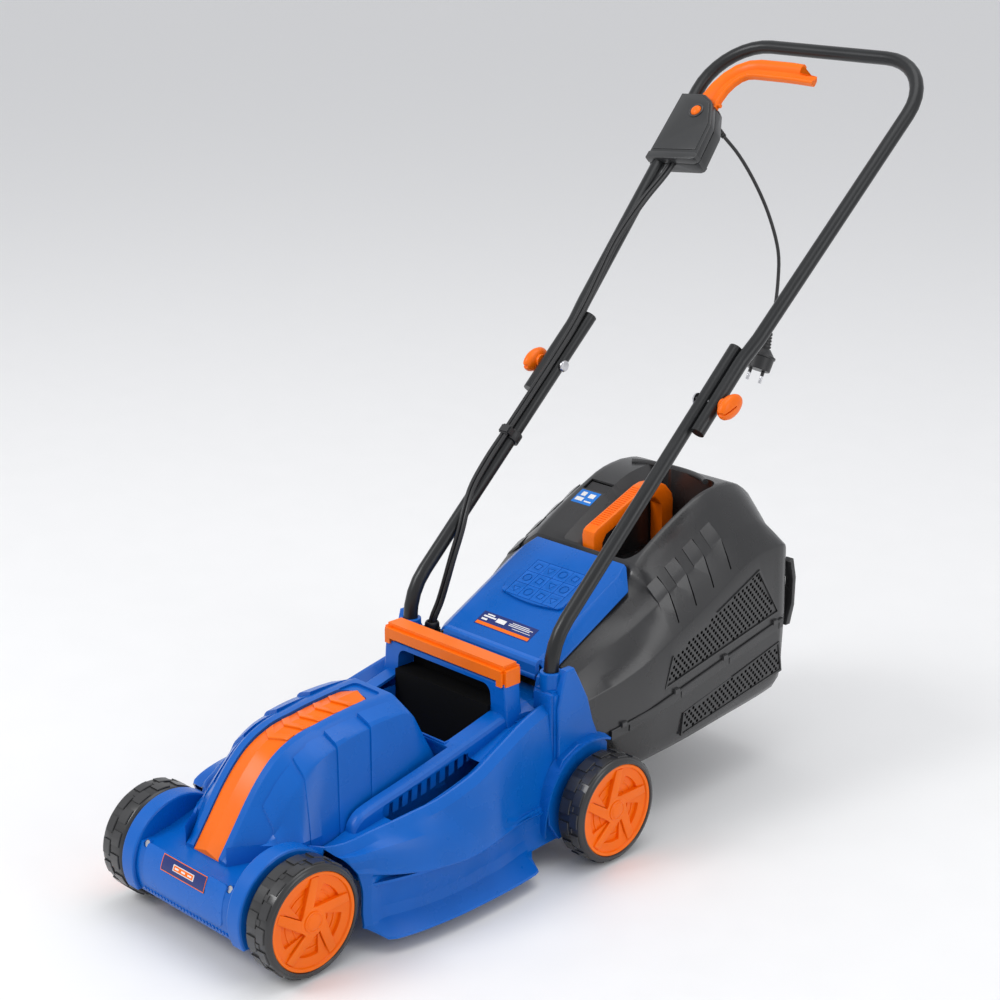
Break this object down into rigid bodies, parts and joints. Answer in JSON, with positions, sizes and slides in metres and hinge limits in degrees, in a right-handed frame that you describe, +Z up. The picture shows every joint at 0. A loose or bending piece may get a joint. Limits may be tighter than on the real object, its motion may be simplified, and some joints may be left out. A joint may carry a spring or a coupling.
{
  "type": "electric lawn mower",
  "caption": "Walk-behind electric rotary mower with a blue deck and hood, four wheels, folding tube handle, switch box with lever, rear flap, rear grass box and short mains lead.",
  "frame": {"origin": "middle of the mower's footprint box on the ground, measured without the mains lead", "axes": "+Z up, +Y from the nose towards the operator, +X to the operator's left, so that -Y is the way it is pushed"},
  "size_m": [0.4152, 1.193, 0.9439],
  "materials": {
    "blue_plastic": "satin",
    "orange_plastic": "satin",
    "grey_plastic": "matte",
    "black_plastic": "satin",
    "rubber": "matte",
    "tyre": "satin",
    "tube_paint": "satin",
    "steel": "brushed",
    "copper_winding": "varnished"
  },
  "bodies": {
    "deck": {"deck_shell": "blue_plastic", "motor_hood": "blue_plastic", "hood_stripe": "orange_plastic", "carry_grip": "orange_plastic", "nose_screw_left": "steel", "nose_screw_right": "steel", "motor_stator": "copper_winding", "upper_bearing": "steel", "lower_bearing": "steel", "capacitor": "grey_plastic", "lower_tube_left": "tube_paint", "lower_tube_right": "tube_paint", "motor_cable_lower_a": "rubber", "motor_cable_lower_b": "rubber", "cable_clip": "black_plastic", "cable_gland": "black_plastic", "flap_rod": "steel", "flap_spring": "steel"},
    "rotor": {"motor_rotor": "steel", "cooling_fan": "black_plastic", "blade_holder": "black_plastic", "blade": "steel", "blade_bolt": "steel"},
    "front_axle": {"front_axle": "steel"},
    "rear_axle": {"rear_axle": "steel"},
    "rear_flap": {"rear_flap": "blue_plastic"},
    "grass_box": {"box_lower_shell": "grey_plastic", "box_upper_shell": "grey_plastic", "box_handle": "orange_plastic"},
    "fill_indicator": {"fill_indicator": "black_plastic"},
    "upper_handle": {"upper_handle": "tube_paint", "pivot_bolt_left": "steel", "pivot_bolt_right": "steel", "switch_housing_upper": "grey_plastic", "switch_housing_lower": "grey_plastic", "switch_block": "black_plastic", "motor_cable_upper_a": "rubber", "motor_cable_upper_b": "rubber", "cord_sleeve": "rubber", "supply_cord": "rubber", "plug_body": "black_plastic", "plug_pin_a": "steel", "plug_pin_b": "steel"},
    "bail_lever": {"bail_lever": "orange_plastic"},
    "safety_button": {"safety_button": "orange_plastic"},
    "knob_left": {"knob_left": "orange_plastic"},
    "knob_right": {"knob_right": "orange_plastic"},
    "wheel_front_left": {"tyre_front_left": "tyre", "rim_front_left": "orange_plastic", "hub_cap_front_left": "orange_plastic"},
    "wheel_front_right": {"tyre_front_right": "tyre", "rim_front_right": "orange_plastic", "hub_cap_front_right": "orange_plastic"},
    "wheel_rear_left": {"tyre_rear_left": "tyre", "rim_rear_left": "orange_plastic", "hub_cap_rear_left": "orange_plastic"},
    "wheel_rear_right": {"tyre_rear_right": "tyre", "rim_rear_right": "orange_plastic", "hub_cap_rear_right": "orange_plastic"}
  },
  "joints": [
    {"name": "front_height", "type": "slide", "parent": "deck", "child": "front_axle", "axis": [0, 0, -1], "range_m": [0, 0.04]},
    {"name": "rear_height", "type": "slide", "parent": "deck", "child": "rear_axle", "axis": [0, 0, -1], "range_m": [0, 0.04]},
    {"name": "wheel_front_left_spin", "type": "hinge", "parent": "front_axle", "child": "wheel_front_left", "pos_m": [0.1385, -0.5103, 0.07], "axis": [1, 0, 0], "continuous": true},
    {"name": "wheel_front_right_spin", "type": "hinge", "parent": "front_axle", "child": "wheel_front_right", "pos_m": [-0.1385, -0.5103, 0.07], "axis": [1, 0, 0], "continuous": true},
    {"name": "wheel_rear_left_spin", "type": "hinge", "parent": "rear_axle", "child": "wheel_rear_left", "pos_m": [0.1876, -0.0617, 0.07], "axis": [1, 0, 0], "continuous": true},
    {"name": "wheel_rear_right_spin", "type": "hinge", "parent": "rear_axle", "child": "wheel_rear_right", "pos_m": [-0.1876, -0.0617, 0.07], "axis": [1, 0, 0], "continuous": true},
    {"name": "blade_spin", "type": "hinge", "parent": "deck", "child": "rotor", "pos_m": [0, -0.3053, 0.03], "axis": [0, 0, 1], "continuous": true},
    {"name": "flap_lift", "type": "hinge", "parent": "deck", "child": "rear_flap", "pos_m": [0, -0.0853, 0.2215], "axis": [1, 0, 0], "range_deg": [0, 55], "stiffness_Nm_per_rad": 0.15, "springref_deg": -34.38},
    {"name": "box_removal", "type": "slide", "parent": "deck", "child": "grass_box", "axis": [0, 0.8908, 0.4544], "range_m": [0, 0.2]},
    {"name": "indicator_lift", "type": "hinge", "parent": "grass_box", "child": "fill_indicator", "pos_m": [-0.062, 0.1917, 0.3775], "axis": [1, 0, 0], "range_deg": [-25, 0]},
    {"name": "handle_fold", "type": "hinge", "parent": "deck", "child": "upper_handle", "pos_m": [0, 0.1737, 0.5378], "axis": [1, 0, 0], "range_deg": [0, 150], "deforming": ["motor_cable_upper_a", "motor_cable_upper_b", "motor_cable_lower_a", "motor_cable_lower_b"]},
    {"name": "lever_pull", "type": "hinge", "parent": "upper_handle", "child": "bail_lever", "pos_m": [-0.147, 0.49493, 0.85641], "axis": [1, 0, 0], "range_deg": [-10, 0], "stiffness_Nm_per_rad": 0.8, "springref_deg": 14.32},
    {"name": "button_press", "type": "slide", "parent": "upper_handle", "child": "safety_button", "axis": [0, 0.71, -0.7042], "range_m": [0, 0.0045], "stiffness_N_per_m": 250, "springref_m": -0.003},
    {"name": "knob_left_turn", "type": "hinge", "parent": "upper_handle", "child": "knob_left", "pos_m": [0.165, 0.1737, 0.5378], "axis": [1, 0, 0], "continuous": true},
    {"name": "knob_right_turn", "type": "hinge", "parent": "upper_handle", "child": "knob_right", "pos_m": [-0.165, 0.1737, 0.5378], "axis": [1, 0, 0], "continuous": true}
  ]
}
